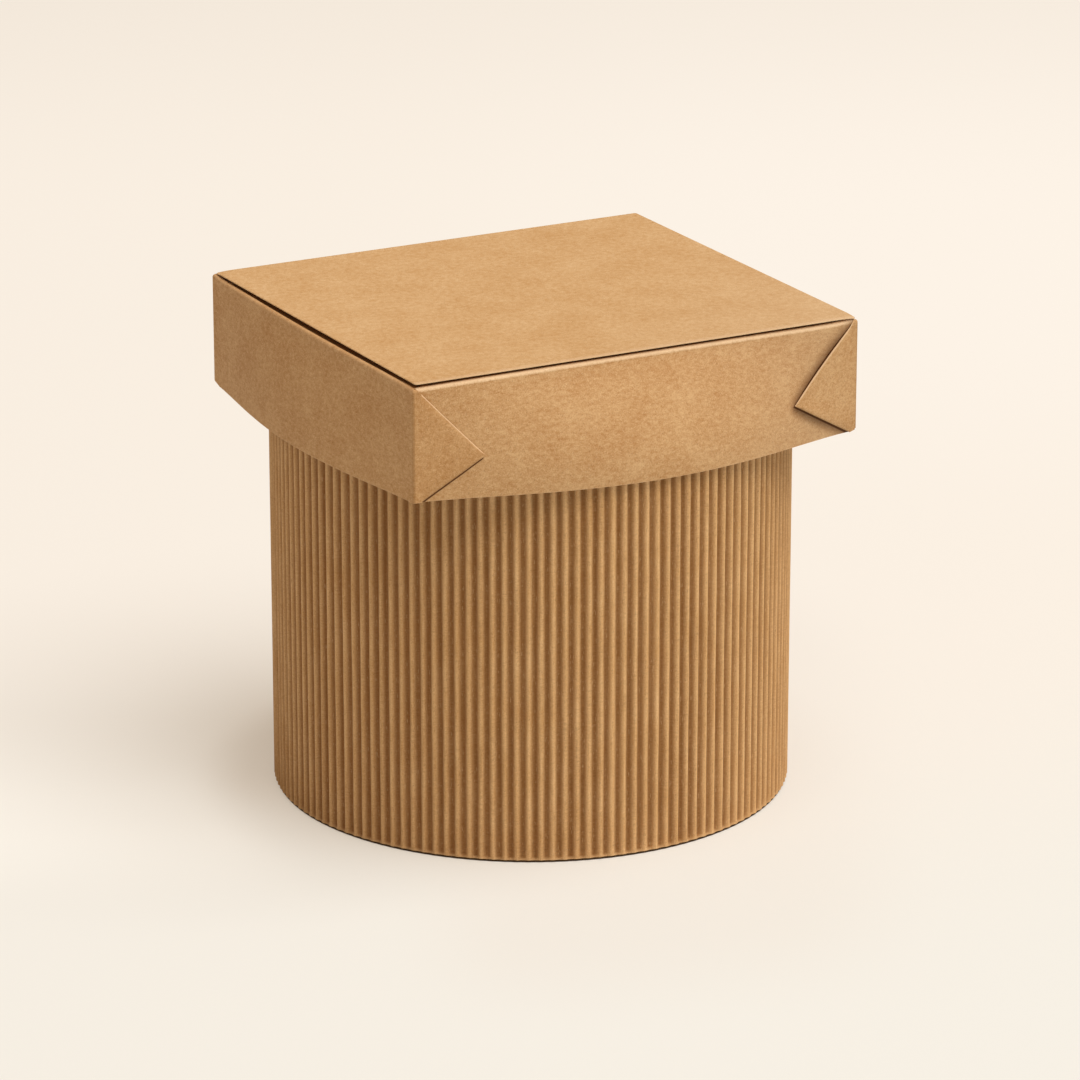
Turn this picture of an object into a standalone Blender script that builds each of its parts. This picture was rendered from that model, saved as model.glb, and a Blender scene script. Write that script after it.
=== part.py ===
"""Round keepsake box of brown kraft card.

A round drum of fluted board stands on a flat base. A lid with square corners, folded from strips of
card, is pressed over the drum's rim, and the drum pushes the middle of each lid wall outwards, which
is what grips it. The lid lifts straight off.

Metres, +Z up. The origin is on the floor, on the drum's axis. The lid's front wall faces -Y.
"""

import math
from collections import namedtuple

import bmesh
import bpy
from mathutils import Vector

# Drum: single-faced fluted board wound round a tube of rigid board.
DRUM_DIAMETER = 0.150  # over the flute crests
DRUM_HEIGHT = 0.1185  # floor to the tube's rim
FLUTE_PITCH = 0.0034
FLUTE_DEPTH = 0.0013
FLUTE_PAPER = 0.00025
BACKING_PAPER = 0.0003
TUBE_BOARD = 0.0015
LINING_PAPER = 0.0003
BASE_BOARD = 0.002
BASE_PAPER = 0.0005
WRAP_FOOT = 0.0005  # the wrap ends this far above the floor
WRAP_RIM_STEP = 0.0004  # and this far below the tube's rim
SEAM_WIDTH = 0.0006

# Lid: four folded walls, a stiffener on their turned-in flanges, a top panel and a lining.
CARD = 0.0005
WALL_HEIGHT = 0.0319  # lower edge to the top of the flange
LID_OVERLAP = 0.008  # how far the drum's rim stands inside the skirt
FRONT_BOW = 0.0137  # how far the drum pushes out the lower edge of the front and rear walls
SIDE_BOW = 0.0063
CREASE_RADIUS = 0.001
CORNER_RADIUS = 0.0016
FLANGE_WIDTH = 0.013
TAB_REACH = 0.0200  # corner to the tip of a tab
TAB_SHOULDER = 0.0024  # the tab keeps its full height this far from the corner
TAB_TIP_HEIGHT = 0.0118  # lower edge to the tip
TAB_TIP_WIDTH = 0.0006
STIFFENER_BOARD = 0.0004
STIFFENER_INSET = 0.005
PANEL_INSET = 0.0010
LINING_INSET = 0.0015
PLATE_CORNER = 0.0008

# Clearances: between glued sheets, and between the lid walls and the flute crests.
GLUE_GAP = 0.0003
LID_CLEARANCE = 0.0003

# How fast the bow fades from the middle of a lid wall to its corners, which stay square.
BOW_FADE_POWER = 1.5

# Where one flute leaves the trough, reaches its crest, leaves it and is back, as shares of the pitch.
FLUTE_POINT_SHARES = ((0.09, 0), (0.41, 1), (0.59, 1), (0.91, 0))

ROUND_SEGMENTS = 80
SKIRT_ROWS = 6
WALL_LENGTHS = 14
CREASE_STEPS = 3
CORNER_STEPS = 4
TAB_STEPS = 4
PLATE_CORNER_STEPS = 3
SEAM_ANGLE = math.radians(90)
SMOOTH_ANGLE = math.radians(50)

# Radii of the drum's layers, from the outside in.
CREST_RADIUS = DRUM_DIAMETER / 2
TROUGH_RADIUS = CREST_RADIUS - FLUTE_DEPTH
BACKING_OUTER = TROUGH_RADIUS - FLUTE_PAPER - GLUE_GAP
BACKING_INNER = BACKING_OUTER - BACKING_PAPER
TUBE_OUTER = BACKING_INNER - GLUE_GAP
TUBE_INNER = TUBE_OUTER - TUBE_BOARD
LINING_OUTER = TUBE_INNER - GLUE_GAP
LINING_INNER = LINING_OUTER - LINING_PAPER

# Heights of the base's layers, from the floor up.
BASE_BOARD_FOOT = BASE_PAPER + GLUE_GAP
BASE_BOARD_TOP = BASE_BOARD_FOOT + BASE_BOARD
LINING_FOOT = BASE_BOARD_TOP + GLUE_GAP

# The lid's crease stays straight, and the bow grows from it down to the lower edge.
CREASE_HEIGHT = WALL_HEIGHT - CREASE_RADIUS
LID_FOOT = DRUM_HEIGHT - LID_OVERLAP
TAB_LAYER = CARD + GLUE_GAP


def bow_at(height):
    """Share of the full bow that is left at a height above the lid's lower edge."""
    rise = min(1, max(0, height / CREASE_HEIGHT))
    return math.cos(rise * math.pi / 2)


def bow_along(share):
    """Share of the bow at a place along a wall, from its middle at 0 to its corners at 1 and -1."""
    return max(0, 1 - share**2) ** BOW_FADE_POWER


# At the rim the bowed walls lie against the flute crests, which gives the lid its width and depth.
GRIP_RADIUS = CREST_RADIUS + LID_CLEARANCE
LID_HALF_WIDTH = GRIP_RADIUS + CARD - SIDE_BOW * bow_at(LID_OVERLAP)
LID_HALF_DEPTH = GRIP_RADIUS + CARD + TAB_LAYER - FRONT_BOW * bow_at(LID_OVERLAP)
INNER_HALF_WIDTH = LID_HALF_WIDTH - CARD
INNER_HALF_DEPTH = LID_HALF_DEPTH - CARD - TAB_LAYER

# A lid wall stands at `span` from the axis, faces `out` and runs along `along` for `length` each way.
Wall = namedtuple("Wall", "out along span length")
FRONT = Wall(Vector((0, -1, 0)), Vector((1, 0, 0)), LID_HALF_DEPTH - TAB_LAYER, LID_HALF_WIDTH - CORNER_RADIUS)
REAR = Wall(Vector((0, 1, 0)), Vector((-1, 0, 0)), FRONT.span, FRONT.length)
LEFT = Wall(Vector((-1, 0, 0)), Vector((0, -1, 0)), LID_HALF_WIDTH, LID_HALF_DEPTH - CORNER_RADIUS)
RIGHT = Wall(Vector((1, 0, 0)), Vector((0, 1, 0)), LEFT.span, LEFT.length)


def clear_scene():
    for item in list(bpy.context.scene.objects):
        bpy.data.objects.remove(item, do_unlink=True)


def paper(name, colour, roughness):
    """Matt paper or board of one colour."""
    material = bpy.data.materials.new(name)
    material.use_nodes = True
    shader = material.node_tree.nodes["Principled BSDF"]
    shader.inputs["Base Color"].default_value = (*colour, 1)
    shader.inputs["Roughness"].default_value = roughness
    shader.inputs["Metallic"].default_value = 0
    return material


def group(name, height):
    """Empty on the drum's axis that carries the pieces which move together."""
    holder = bpy.data.objects.new(name, None)
    holder.location = (0, 0, height)
    bpy.context.scene.collection.objects.link(holder)
    return holder


def finish(bm, name, material, holder):
    """Turns a finished shape into a named piece with its own material, carried by its group."""
    bmesh.ops.recalc_face_normals(bm, faces=bm.faces)
    mesh = bpy.data.meshes.new(name)
    bm.to_mesh(mesh)
    bm.free()
    mesh.materials.append(material)
    mesh.shade_smooth()
    mesh.set_sharp_from_angle(angle=SMOOTH_ANGLE)
    piece = bpy.data.objects.new(name, mesh)
    piece.parent = holder
    bpy.context.scene.collection.objects.link(piece)


def extrude_up(bm, faces, thickness):
    raised = bmesh.ops.extrude_face_region(bm, geom=faces)["geom"]
    corners = [item for item in raised if isinstance(item, bmesh.types.BMVert)]
    bmesh.ops.translate(bm, verts=corners, vec=(0, 0, thickness))


def polar(radius, angle, height):
    return Vector((radius * math.cos(angle), radius * math.sin(angle), height))


def wound_strip(name, outline, foot, top, material, holder, closed=False):
    """Upright sheet wound round the axis. The outline holds an angle, an outer and an inner radius a step."""
    bm = bmesh.new()
    steps = [
        (bm.verts.new(polar(outer, angle, foot)), bm.verts.new(polar(inner, angle, foot)))
        for angle, outer, inner in outline
    ]
    following = steps[1:] + steps[:1] if closed else steps[1:]
    sheet = [bm.faces.new((a, b, d, c)) for (a, b), (c, d) in zip(steps, following)]
    extrude_up(bm, sheet, top - foot)
    finish(bm, name, material, holder)


def seam_sweep(radius):
    """First angle and length of the turn that leaves a butt seam open at the back of the drum."""
    seam = SEAM_WIDTH / radius
    return SEAM_ANGLE + seam / 2, 2 * math.pi - seam


def sleeve_outline(outer, inner):
    start, sweep = seam_sweep(outer)
    return [(start + sweep * step / ROUND_SEGMENTS, outer, inner) for step in range(ROUND_SEGMENTS + 1)]


def tube_outline(outer, inner):
    return [(2 * math.pi * step / ROUND_SEGMENTS, outer, inner) for step in range(ROUND_SEGMENTS)]


def flute_outline():
    """One thin sheet that rises and falls once a flute, and ends in a trough on both sides of the seam."""
    start, sweep = seam_sweep(CREST_RADIUS)
    flutes = round(2 * math.pi * CREST_RADIUS / FLUTE_PITCH)
    wave = [(0, 0)]
    for flute in range(flutes):
        wave += [(flute + share, rise) for share, rise in FLUTE_POINT_SHARES]
    wave.append((flutes, 0))
    outline = []
    for place, rise in wave:
        outer = TROUGH_RADIUS + rise * FLUTE_DEPTH
        outline.append((start + sweep * place / flutes, outer, outer - FLUTE_PAPER))
    return outline


def disc(name, radius, foot, thickness, material, holder):
    bm = bmesh.new()
    ring = [bm.verts.new(polar(radius, angle, foot)) for angle, _, _ in tube_outline(radius, radius)]
    extrude_up(bm, [bm.faces.new(ring)], thickness)
    finish(bm, name, material, holder)


def plate(name, half_width, half_depth, foot, thickness, material, holder):
    """Flat sheet with its four upright corners eased."""
    bm = bmesh.new()
    signs = ((-1, -1), (1, -1), (1, 1), (-1, 1))
    ring = [bm.verts.new((x * half_width, y * half_depth, foot)) for x, y in signs]
    extrude_up(bm, [bm.faces.new(ring)], thickness)
    upright = [edge for edge in bm.edges if edge.verts[0].co.xy == edge.verts[1].co.xy]
    bmesh.ops.bevel(bm, geom=upright, offset=PLATE_CORNER, segments=PLATE_CORNER_STEPS, profile=0.5, affect="EDGES")
    finish(bm, name, material, holder)


def held(value, half):
    """Share of the way out to a wall: 1 or -1 anywhere within the walls' own layers."""
    return max(-1, min(1, value / half))


def bow_out(point):
    """Moves a point of the straight folded lid to where the round drum pushes it."""
    bow = bow_at(point.z)
    front = FRONT_BOW * bow * bow_along(point.x / LID_HALF_WIDTH)
    side = SIDE_BOW * bow * bow_along(point.y / LID_HALF_DEPTH)
    shift = Vector((side * held(point.x, INNER_HALF_WIDTH), front * held(point.y, INNER_HALF_DEPTH), 0))
    return point + shift


def on_wall(wall, along, inward, height):
    """Point at a place along a wall and a depth behind its outer face."""
    return bow_out(wall.along * along + wall.out * (wall.span - inward) + Vector((0, 0, height)))


def quarter_turns(steps):
    return [math.pi / 2 * (step + 1) / steps for step in range(steps)]


def skirt_heights():
    return [CREASE_HEIGHT * row / SKIRT_ROWS for row in range(SKIRT_ROWS + 1)]


def fold_line(depth):
    """Up a wall, round its top crease and in along its flange, at a depth behind the outer face."""
    line = [(depth, height) for height in skirt_heights()]
    radius = CREASE_RADIUS - depth
    for turn in quarter_turns(CREASE_STEPS):
        line.append((CREASE_RADIUS - radius * math.cos(turn), CREASE_HEIGHT + radius * math.sin(turn)))
    line.append((FLANGE_WIDTH, WALL_HEIGHT - depth))
    return line


def fold_ring(bm, wall, share):
    """Closed section across a wall and its flange, whose ends are mitred to clear the next flange."""
    ring = []
    for inward, height in fold_line(0) + fold_line(CARD)[::-1]:
        length = wall.length - max(0, inward - CARD)
        ring.append(bm.verts.new(on_wall(wall, share * length, inward, height)))
    return ring


def bridge(bm, ring, following):
    count = len(ring)
    for step in range(count):
        after = (step + 1) % count
        bm.faces.new((ring[step], ring[after], following[after], following[step]))


def folded_strip(bm, wall):
    """Straight run of a wall with its flange. Returns its sections from one end to the other."""
    rings = [fold_ring(bm, wall, 2 * step / WALL_LENGTHS - 1) for step in range(WALL_LENGTHS + 1)]
    for ring, following in zip(rings, rings[1:]):
        bridge(bm, ring, following)
    return rings


def tab_sections(wall):
    """Round the upright corner, then out to the tab's tip: places of both faces, and the height left there.

    A section is the outer and the inner face's places as (along, inward), and the share of full height.
    """
    inner_radius = CORNER_RADIUS - CARD
    sections = []
    for turn in quarter_turns(CORNER_STEPS):
        faces = [
            (wall.length + radius * math.sin(turn), CORNER_RADIUS - radius * math.cos(turn))
            for radius in (CORNER_RADIUS, inner_radius)
        ]
        sections.append((faces, 1))
    tip_share = TAB_TIP_WIDTH / CREASE_HEIGHT
    for step in range(TAB_STEPS + 1):
        taper = step / TAB_STEPS
        inward = TAB_SHOULDER + (TAB_REACH - TAB_SHOULDER) * taper
        faces = [(wall.length + radius, inward) for radius in (CORNER_RADIUS, inner_radius)]
        sections.append((faces, 1 - taper * (1 - tip_share)))
    return sections


def add_tab(bm, wall, ring, hand):
    """Carries a side wall on from its end ring round the corner, as a pointed tab on the next wall."""
    rows = SKIRT_ROWS + 1
    bm.faces.new(ring[rows - 1 : len(ring) - rows + 1])
    previous = ring[:rows] + ring[-rows:]
    for (outer, inner), left in tab_sections(wall):
        heights = [TAB_TIP_HEIGHT + (height - TAB_TIP_HEIGHT) * left for height in skirt_heights()]
        face = [on_wall(wall, hand * outer[0], outer[1], height) for height in heights]
        back = [on_wall(wall, hand * inner[0], inner[1], height) for height in heights]
        section = [bm.verts.new(point) for point in face + back[::-1]]
        bridge(bm, previous, section)
        previous = section
    bm.faces.new(previous)


def plain_wall(name, wall, material, holder):
    """Front or rear wall: a folded strip whose ends lie under the tabs of the side walls."""
    bm = bmesh.new()
    rings = folded_strip(bm, wall)
    bm.faces.new(rings[0])
    bm.faces.new(rings[-1])
    finish(bm, name, material, holder)


def tabbed_wall(name, wall, material, holder):
    """Left or right wall: a folded strip with a pointed tab round each corner."""
    bm = bmesh.new()
    rings = folded_strip(bm, wall)
    add_tab(bm, wall, rings[0], -1)
    add_tab(bm, wall, rings[-1], 1)
    finish(bm, name, material, holder)


def build_drum():
    drum = group("drum", 0)
    wrap_top = DRUM_HEIGHT - WRAP_RIM_STEP
    fluted = paper("fluted_kraft", (0.53, 0.32, 0.15), 0.85)
    liner = paper("liner_kraft", (0.50, 0.31, 0.15), 0.85)
    wound_strip("fluted_wrap", flute_outline(), WRAP_FOOT, wrap_top, fluted, drum)
    wound_strip("wrap_backing", sleeve_outline(BACKING_OUTER, BACKING_INNER), WRAP_FOOT, wrap_top, liner, drum)

    tube_board = paper("tube_board", (0.40, 0.33, 0.25), 0.9)
    tube = tube_outline(TUBE_OUTER, TUBE_INNER)
    wound_strip("drum_tube", tube, BASE_BOARD_FOOT, DRUM_HEIGHT, tube_board, drum, closed=True)
    lining_paper = paper("drum_lining_paper", (0.58, 0.38, 0.20), 0.85)
    lining = sleeve_outline(LINING_OUTER, LINING_INNER)
    wound_strip("drum_lining", lining, LINING_FOOT, DRUM_HEIGHT, lining_paper, drum)

    base_paper = paper("base_paper", (0.50, 0.32, 0.16), 0.9)
    disc("base_cover", TUBE_OUTER, 0, BASE_PAPER, base_paper, drum)
    base_board = paper("base_greyboard", (0.38, 0.34, 0.29), 0.9)
    disc("base_board", TUBE_INNER - GLUE_GAP, BASE_BOARD_FOOT, BASE_BOARD, base_board, drum)
    floor_paper = paper("base_lining_paper", (0.58, 0.38, 0.20), 0.85)
    disc("base_lining", LINING_INNER - GLUE_GAP, LINING_FOOT, LINING_PAPER, floor_paper, drum)


def build_lid():
    lid = group("lid", LID_FOOT)
    plain_wall("lid_front_wall", FRONT, paper("front_wall_card", (0.57, 0.35, 0.17), 0.8), lid)
    plain_wall("lid_rear_wall", REAR, paper("rear_wall_card", (0.57, 0.35, 0.17), 0.8), lid)
    tabbed_wall("lid_left_wall", LEFT, paper("left_wall_card", (0.55, 0.34, 0.16), 0.8), lid)
    tabbed_wall("lid_right_wall", RIGHT, paper("right_wall_card", (0.55, 0.34, 0.16), 0.8), lid)

    stiffener = paper("stiffener_board", (0.38, 0.34, 0.29), 0.9)
    foot = WALL_HEIGHT + GLUE_GAP
    half_width = LID_HALF_WIDTH - STIFFENER_INSET
    half_depth = LID_HALF_DEPTH - STIFFENER_INSET
    plate("lid_stiffener", half_width, half_depth, foot, STIFFENER_BOARD, stiffener, lid)

    panel = paper("panel_card", (0.60, 0.38, 0.19), 0.8)
    foot += STIFFENER_BOARD + GLUE_GAP
    half_width = LID_HALF_WIDTH - PANEL_INSET
    half_depth = LID_HALF_DEPTH - PANEL_INSET
    plate("lid_top_panel", half_width, half_depth, foot, CARD, panel, lid)

    lining = paper("lid_lining_card", (0.57, 0.36, 0.18), 0.8)
    foot = WALL_HEIGHT - CARD - GLUE_GAP - CARD
    half_width = INNER_HALF_WIDTH - LINING_INSET
    half_depth = INNER_HALF_DEPTH - LINING_INSET
    plate("lid_lining", half_width, half_depth, foot, CARD, lining, lid)


clear_scene()
build_drum()
build_lid()
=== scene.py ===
import math

import bmesh
import bpy
from mathutils import Matrix, Vector


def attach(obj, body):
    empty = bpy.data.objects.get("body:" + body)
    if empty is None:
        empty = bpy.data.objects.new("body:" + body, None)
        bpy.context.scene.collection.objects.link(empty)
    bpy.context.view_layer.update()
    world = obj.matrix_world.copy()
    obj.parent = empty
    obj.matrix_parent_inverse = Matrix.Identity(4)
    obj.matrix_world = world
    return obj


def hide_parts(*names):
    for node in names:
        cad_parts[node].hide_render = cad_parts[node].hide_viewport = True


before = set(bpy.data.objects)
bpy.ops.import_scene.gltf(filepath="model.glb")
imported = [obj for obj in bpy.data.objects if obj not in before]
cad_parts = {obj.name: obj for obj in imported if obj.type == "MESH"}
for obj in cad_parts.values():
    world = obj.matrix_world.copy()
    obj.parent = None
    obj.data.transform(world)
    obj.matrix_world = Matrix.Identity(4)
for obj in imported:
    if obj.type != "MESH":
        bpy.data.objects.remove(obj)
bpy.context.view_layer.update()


# Base: a disc of paper under the drum, near black as painted shade for the shadow line under its foot, a
# disc of greyboard let into the tube's foot, and a disc of lining paper on the floor inside. All three are
# punched out and glued in.
class Wire:
    """A socket of a node tree. Sums and products of wires add the Math nodes that they need."""

    def __init__(self, socket):
        self.socket = socket

    @classmethod
    def node(cls, tree, kind, settings, sockets, out=0):
        """Adds a node: its settings first, then the values or links of its sockets. Gives one output."""
        made = tree.nodes.new(kind)
        for name, value in settings.items():
            setattr(made, name, value)
        for key, value in sockets.items():
            if isinstance(value, cls):
                tree.links.new(value.socket, made.inputs[key])
            else:
                made.inputs[key].default_value = value
        return cls(made.outputs[out])

    def beside(self, kind, settings, sockets, out=0):
        return self.node(self.socket.id_data, kind, settings, sockets, out)

    def maths(self, operation, *values):
        return self.beside("ShaderNodeMath", {"operation": operation}, dict(enumerate(values)))

    def __add__(self, other):
        return self.maths("ADD", self, other)

    def __radd__(self, other):
        return self.maths("ADD", other, self)

    def __sub__(self, other):
        return self.maths("SUBTRACT", self, other)

    def __rsub__(self, other):
        return self.maths("SUBTRACT", other, self)

    def __mul__(self, other):
        return self.maths("MULTIPLY", self, other)

    def __rmul__(self, other):
        return self.maths("MULTIPLY", other, self)

    def __truediv__(self, other):
        return self.maths("DIVIDE", self, other)

    def __pow__(self, other):
        return self.maths("POWER", self, other)

    def fade(self, start, end):
        """0 up to `start`, 1 from `end` on, and a soft change between them."""
        sockets = {"Value": self, "From Min": start, "From Max": end}
        return self.beside("ShaderNodeMapRange", {"interpolation_type": "SMOOTHSTEP"}, sockets)

    def mix(self, first, second):
        """Colour that goes from the first to the second as this mask goes from 0 to 1."""
        return self.beside("ShaderNodeMix", {"data_type": "RGBA"}, {0: self, 6: first, 7: second}, 2)

    def feed(self, node, name):
        """Links this wire to one more input of a node."""
        self.socket.id_data.links.new(self.socket, node.inputs[name])


def start_finish(name):
    """New material: the material, its shader, and a wire of the piece's own coordinates."""
    material = bpy.data.materials.new(name)
    material.use_nodes = True
    shader = material.node_tree.nodes["Principled BSDF"]
    return material, shader, Wire.node(material.node_tree, "ShaderNodeTexCoord", {}, {}, "Object")


def read(place, attribute):
    """A number that the mesh carries under this name."""
    return place.beside("ShaderNodeAttribute", {"attribute_name": attribute}, {}, "Fac")


def mottle(place, spot, detail):
    """Cloudy variation round 0, in spots of about this size along each axis."""
    laid = place.beside("ShaderNodeMapping", {"vector_type": "TEXTURE"}, {"Vector": place, "Scale": spot})
    sockets = {"Vector": laid, "Scale": 1, "Detail": detail, "Roughness": 0.6}
    return place.beside("ShaderNodeTexNoise", {}, sockets) - 0.5


STRANDS_APART = 4
STRAND_EDGE_SHARES = (0.19, 0.09)


def strands(place, turn, width, length):
    """Mask of stray straight fibres of this size, all turned one way and strewn this many sizes apart."""
    cell = [size * STRANDS_APART for size in (width, width, length)]
    sockets = {"Vector": place, "Rotation": turn, "Scale": cell}
    laid = place.beside("ShaderNodeMapping", {"vector_type": "TEXTURE"}, sockets)
    reach = place.beside("ShaderNodeTexVoronoi", {"feature": "F1"}, {"Vector": laid, "Scale": 1})
    return reach.fade(*STRAND_EDGE_SHARES)


CLOUD = (0.014, 0.014, 0.014)
NAP = (0.0004, 0.0004, 0.0004)
SHIVE = (0.19, 0.085, 0.03, 1)
PALE_FIBRE = (0.90, 0.66, 0.42, 1)
# Stray strands: which way they are turned, their width and their length.
SPLINTERS = (((0.5, 0.3, 0.9), 0.00013, 0.0007), ((1.9, 0.8, 2.3), 0.00011, 0.0006))
FIBRES = (((2.6, 1.2, 0.4), 0.00010, 0.0012), ((0.9, 2.1, 1.5), 0.00009, 0.0010))


def strewn(place, kinds):
    """Mask of two kinds of strands."""
    first, second = (strands(place, *kind) for kind in kinds)
    return first + second


def pulp(place, run, tones):
    """Colour and relief of unbleached pulp, with a grain drawn out along `run` and stray fibres."""
    cloud = mottle(place, CLOUD, 2)
    grain = mottle(place, run, 3)
    nap = mottle(place, NAP, 2)
    fibres = strewn(place, FIBRES)
    colour = (0.5 + 0.8 * cloud + 1.5 * grain + 1.4 * nap).mix(*tones)
    colour = (0.45 * strewn(place, SPLINTERS)).mix(colour, SHIVE)
    colour = (0.40 * fibres).mix(colour, PALE_FIBRE)
    return colour, 0.5 * grain + 0.7 * nap + 0.5 * fibres


PAPER_GLOSS = 0.3
CARD_ROUGHNESS = 0.8
PAPER_ROUGHNESS = 0.84
BOARD_ROUGHNESS = 0.9
PAPER_RELIEF = 0.00004
BOARD_RELIEF = 0.00006


def finish_sheet(shader, colour, relief, roughness, depth):
    """Gives a shader its colour, a roughness that follows the relief, and the relief itself."""
    bump = colour.beside("ShaderNodeBump", {}, {"Height": relief, "Distance": depth}, "Normal")
    bump.feed(shader, "Normal")
    colour.feed(shader, "Base Color")
    (roughness + 0.12 * relief).feed(shader, "Roughness")
    shader.inputs["Specular IOR Level"].default_value = PAPER_GLOSS


def dress(node, material):
    """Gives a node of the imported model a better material."""
    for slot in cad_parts[node].material_slots:
        slot.material = material


def kraft_paper(name, run, tones):
    material, shader, place = start_finish(name)
    colour, relief = pulp(place, run, tones)
    finish_sheet(shader, colour, relief, PAPER_ROUGHNESS, PAPER_RELIEF)
    return material


CLOTTED_GRAIN = (0.003, 0.003, 0.003)
GREY_TONES = ((0.27, 0.23, 0.18, 1), (0.40, 0.35, 0.28, 1))
INK = (0.08, 0.08, 0.09, 1)
INK_FLECK = ((1.1, 0.4, 2.7), 0.00018, 0.0004)


def greyboard(name):
    """Board of grey recycled pulp, with flecks of what went into it."""
    material, shader, place = start_finish(name)
    colour, relief = pulp(place, CLOTTED_GRAIN, GREY_TONES)
    colour = (0.6 * strands(place, *INK_FLECK)).mix(colour, INK)
    finish_sheet(shader, colour, relief, BOARD_ROUGHNESS, BOARD_RELIEF)
    return material


def settle(piece, body, slot, *nodes):
    """Says which body a piece moves with and what it stands for; its slot is not used."""
    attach(piece, body)
    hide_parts(*nodes)


def placed(name, data):
    """New object in the scene, of this mesh, lamp or camera."""
    made = bpy.data.objects.new(name, data)
    bpy.context.scene.collection.objects.link(made)
    return made


CUT_ANGLE = math.radians(50)


def smooth_piece(name, mesh):
    """Object of a mesh, smooth but for its cut edges."""
    mesh.shade_smooth()
    mesh.set_sharp_from_angle(angle=CUT_ANGLE)
    return placed(name, mesh)


def finished(name, bm, material):
    """Piece made of a bmesh, with its faces outwards."""
    bmesh.ops.recalc_face_normals(bm, faces=bm.faces)
    mesh = bpy.data.meshes.new(name)
    bm.to_mesh(mesh)
    bm.free()
    mesh.materials.append(material)
    return smooth_piece(name, mesh)


COVER_RADIUS = 0.0743
COVER_PAPER = 0.0006
COVER_SIDES = 160
EVEN_GRAIN = (0.0022, 0.0022, 0.0022)
COVER_SHADE_TONES = ((0.044, 0.020, 0.006, 1), (0.074, 0.036, 0.012, 1))
LINING_TONES = ((0.50, 0.31, 0.15, 1), (0.62, 0.40, 0.21, 1))

disc = bmesh.new()
middle = Matrix.Translation((0, 0, COVER_PAPER / 2))
bmesh.ops.create_cone(disc, cap_ends=True, segments=COVER_SIDES, radius1=COVER_RADIUS, radius2=COVER_RADIUS,
                      depth=COVER_PAPER, matrix=middle)
# Near-black paper: painted shade for the shadow line under the drum's foot.
cover_shade_paper = kraft_paper("base_cover_shade_paper", EVEN_GRAIN, COVER_SHADE_TONES)
settle(finished("base_cover_sheet", disc, cover_shade_paper), "drum", "base_kraft", "base_cover")
dress("base_board", greyboard("base_greyboard"))
dress("base_lining", kraft_paper("floor_paper", EVEN_GRAIN, LINING_TONES))


# Tube: four plies of board wound on a mandrel, which keep the drum round. It is lined with a sheet of
# brown paper whose edges meet at the back, so only the tube's rim shows when the lid is off.
PLY = 0.000375
PLY_JOINT_SHARES = (0.12, 0.02)
TUBE_TONES = ((0.30, 0.22, 0.14, 1), (0.44, 0.33, 0.22, 1))
JOINT_SHADE = (0.16, 0.10, 0.055, 1)
UPRIGHT_GRAIN = (0.0012, 0.0012, 0.006)


def tube_board():
    """Greyish brown board that shows the joints between its plies at the rim."""
    material, shader, place = start_finish("wound_tube_board")
    colour, relief = pulp(place, EVEN_GRAIN, TUBE_TONES)
    flat = place.beside("ShaderNodeVectorMath", {"operation": "MULTIPLY"}, {0: place, 1: (1, 1, 0)})
    plies = place.beside("ShaderNodeVectorMath", {"operation": "LENGTH"}, {0: flat}, "Value") / PLY
    joint = plies.maths("PINGPONG", plies, 0.5).fade(*PLY_JOINT_SHARES)
    colour = (0.55 * joint).mix(colour, JOINT_SHADE)
    finish_sheet(shader, colour, relief - 0.5 * joint, BOARD_ROUGHNESS, BOARD_RELIEF)
    return material


dress("drum_tube", tube_board())
dress("drum_lining", kraft_paper("lining_paper", UPRIGHT_GRAIN, LINING_TONES))


# Wrap: single-faced fluted board. A flat liner carries the fluted sheet, the pair is wound once round
# the tube and glued with a butt seam at the back, and the knife crushes the flutes a little at the foot.
CREST_RADIUS = 0.075
FLUTE_DEPTH = 0.0013
FLUTE_PAPER = 0.00025
FLUTES = 139
WRAP_FOOT = 0.00078
WRAP_TOP = 0.1181
SEAM_WIDTH = 0.0006
CRUSHED = 0.0007  # how far up from the foot the knife has crushed the flutes
CRUSH_SHARE = 0.6
POINTS_PER_FLUTE = 12
WRAP_ROWS = 24
ROW_SPREAD_POWER = 1.6
NEIGHBOURS_APART = 7.3
CREST_POWER = 0.95
CREST_WAVER = 1.1
SWAY_SHARES = (0.13, 0.22)
SUNK_SHARE = 0.10
# How each flute changes on its way up: the pace a metre, and the seed, of its crest, of its fine and its
# slow sway to the sides, and of how far it has sunk.
CREST_CHANGE = (30, 3)
FINE_SWAY = (60, 11)
SLOW_SWAY = (8, 17)
SINKING = (25, 23)


def name_inputs(tree, named):
    """Gives a node tree its named inputs, from pairs of name and socket type, and its one output."""
    for name, kind in named:
        tree.interface.new_socket(name=name, in_out="INPUT", socket_type=kind)
    tree.interface.new_socket(name="Geometry", in_out="OUTPUT", socket_type="NodeSocketGeometry")
    source = tree.nodes.new("NodeGroupInput")
    return {name: Wire(source.outputs[name]) for name, kind in named}


def end_tree(tree, shape, material):
    """Ends a tree as every one here ends: nothing left instanced, and its material set."""
    real = shape.beside("GeometryNodeRealizeInstances", {}, {0: shape})
    dressed = shape.beside("GeometryNodeSetMaterial", {}, {"Geometry": real, "Material": material})
    dressed.feed(tree.nodes.new("NodeGroupOutput"), "Geometry")


WELD_REACH = 1e-6


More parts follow.
